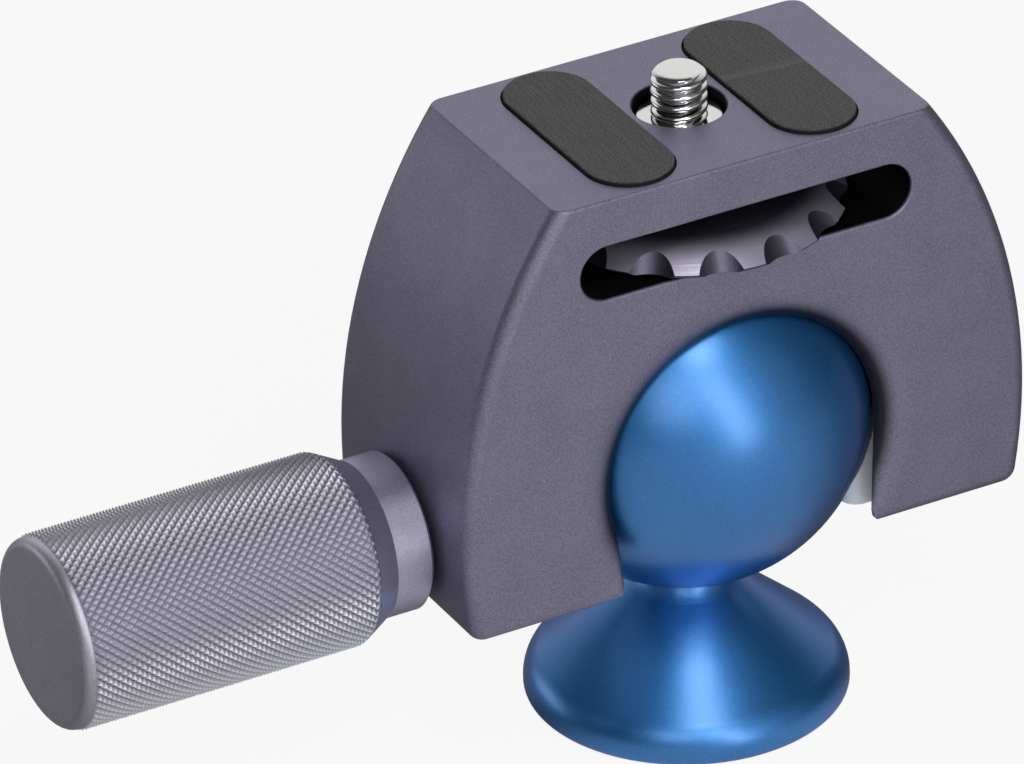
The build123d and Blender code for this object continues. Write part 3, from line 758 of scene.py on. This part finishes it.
stem = merged_copy("camera_screw", "screw_stem")
bpy.ops.mesh.bisect(plane_co=(0, 0, SHOULDER_CUT), plane_no=(0, 0, 1), use_fill=True,
                    clear_outer=True)
pick(stem, "verts", lambda vertex: vertex.co.z > SHOULDER_CUT - SAME_PLACE)
bpy.ops.transform.translate(value=(0, 0, SHOULDER_TOP - SHOULDER_CUT))
bpy.ops.mesh.bevel(offset=SHOULDER_ROUND, affect="EDGES", segments=2)
bpy.ops.object.mode_set(mode="OBJECT")
smooth(stem, 25)
paint(stem, chrome)

thread = started(bpy.ops.mesh.primitive_plane_add, "screw_thread",
                 scale=((CREST_R - ROOT_R) / SCREW_PITCH, FLANKS_WIDTH, 1), size=SCREW_PITCH,
                 location=(middle_r, 0, THREAD_START), rotation=(pi / 2, 0, 0))
pick(thread, "verts", lambda vertex: vertex.co.x > middle_r)
bpy.ops.transform.resize(value=(1, 1, CREST_WIDTH), center_override=(CREST_R, 0, THREAD_START))
bpy.ops.mesh.select_all(action="SELECT")
bpy.ops.mesh.delete(type="ONLY_FACE")
pick(thread, "edges", lambda edge: max(vertex.co.x for vertex in edge.verts) < near_root_r)
bpy.ops.mesh.delete(type="EDGE_FACE")
pick(thread, "verts", lambda vertex: vertex.co.x > middle_r)
bpy.ops.mesh.bevel(offset=CREST_ROUND, affect="VERTICES", segments=3)
pick(thread, "verts", lambda vertex: vertex.co.x < near_root_r and vertex.co.z > THREAD_START)
bpy.ops.mesh.extrude_region_move(
    TRANSFORM_OT_translate={"value": (0, 0, ROOT_WIDTH * SCREW_PITCH)})
bpy.ops.object.mode_set(mode="OBJECT")
winding = thread.modifiers.new("winding", "SCREW")
winding.axis = "Z"
winding.angle = 2 * pi
winding.screw_offset = SCREW_PITCH
winding.iterations = THREAD_TURNS
winding.steps = TURN_STEPS
winding.render_steps = TURN_STEPS
winding.use_merge_vertices = True
winding.merge_threshold = SAME_PLACE
bpy.ops.object.modifier_apply(modifier=winding.name)
bpy.ops.object.mode_set(mode="EDIT")
bpy.ops.mesh.select_all(action="SELECT")
bpy.ops.mesh.remove_doubles(threshold=THREAD_DOUBLES)
bpy.ops.mesh.select_all(action="SELECT")
bpy.ops.mesh.fill_holes(sides=0)
bpy.ops.mesh.select_all(action="SELECT")
bpy.ops.mesh.normals_make_consistent(inside=False)
bpy.ops.object.mode_set(mode="OBJECT")

blank = started(bpy.ops.mesh.primitive_cylinder_add, "thread_blank", vertices=2 * TURN_STEPS,
                radius=CREST_R + BESIDE_CREST, depth=thread_length,
                location=(0, 0, SHOULDER_TOP + thread_length / 2))
pick(blank, "faces", lambda face: face.normal.z > 0.9)
bpy.ops.mesh.bevel(offset=TOP_BREAK, affect="EDGES", segments=3, profile=0.4)
cut_to(thread, blank)
bpy.ops.object.shade_smooth_by_angle(angle=radians(35))
paint(thread, chrome)
bpy.ops.object.select_all(action="DESELECT")
thread.select_set(True)
stem.select_set(True)
bpy.context.view_layer.objects.active = stem
bpy.ops.object.join()
screw = bpy.context.object
screw.name = "threaded_camera_screw"
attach(screw, "wheel")
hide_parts("camera_screw")


# ---- Camera pads ----
# Two strips of ground rubber, glued into shallow recesses of the top plate so that a camera grips.
# The right one was creased when it was laid, and the cut edges are painted black as the shade of
# the gap around them.

SPECK_SIZE = 0.2 * MM
GRIND_MARKS = 0.16 * MM
PAD_DARK = (0.036, 0.036, 0.036, 1)
PAD_DUST = (0.15, 0.15, 0.15, 1)
PAD_SIDE_PAINTED_SHADE = (0.003, 0.003, 0.003, 1)
CREASE_COLOUR = (0.17, 0.17, 0.165, 1)
CREASE_TURN = radians(6)
CREASE_WANDER = 1.0 * MM
CREASE_FRONT = 0.5 * MM
CREASE_BACK = 1.6 * MM


def pad_rubber(name, ground_along, crease_y=None):
    """Ground rubber: fine light dust in a dark grey sheet, with grinding marks along its length."""
    material, nodes = new_material(name)
    specks = nodes.noise(SPECK_SIZE, detail=4.0)
    marks = nodes.noise(GRIND_MARKS, vector=nodes.place(scale=(1, 0.04, 1)))
    dust = specks * (1.0 - ground_along) + marks * ground_along
    colour = nodes.blend(nodes.step(dust, 0.34, 0.7), PAD_DARK, PAD_DUST)
    height = dust
    if crease_y is not None:
        place = nodes.place(turn=(0, 0, CREASE_TURN))
        across = nodes.axis("Y", place) + nodes.noise(6 * MM) * CREASE_WANDER
        ridge = (nodes.step(across, crease_y - CREASE_FRONT, crease_y)
                 * nodes.drop(across, crease_y, crease_y + CREASE_BACK))
        colour = nodes.blend(ridge * 0.35, colour, CREASE_COLOUR)
        height = dust + ridge * 3.0
    # The pad's sides are painted nearly black as the shade of the gap around it.
    colour = nodes.blend(nodes.step(nodes.upward(), 0.3, 0.9), PAD_SIDE_PAINTED_SHADE, colour)
    nodes.surface(Base_Color=colour, Roughness=0.8, Normal=nodes.bump(height, 0.03 * MM))
    return material


dress(pad_rubber("ground_rubber_left", 0.25), "pad_left")
dress(pad_rubber("ground_rubber_right", 0.15, crease_y=2.8 * MM), "pad_right")
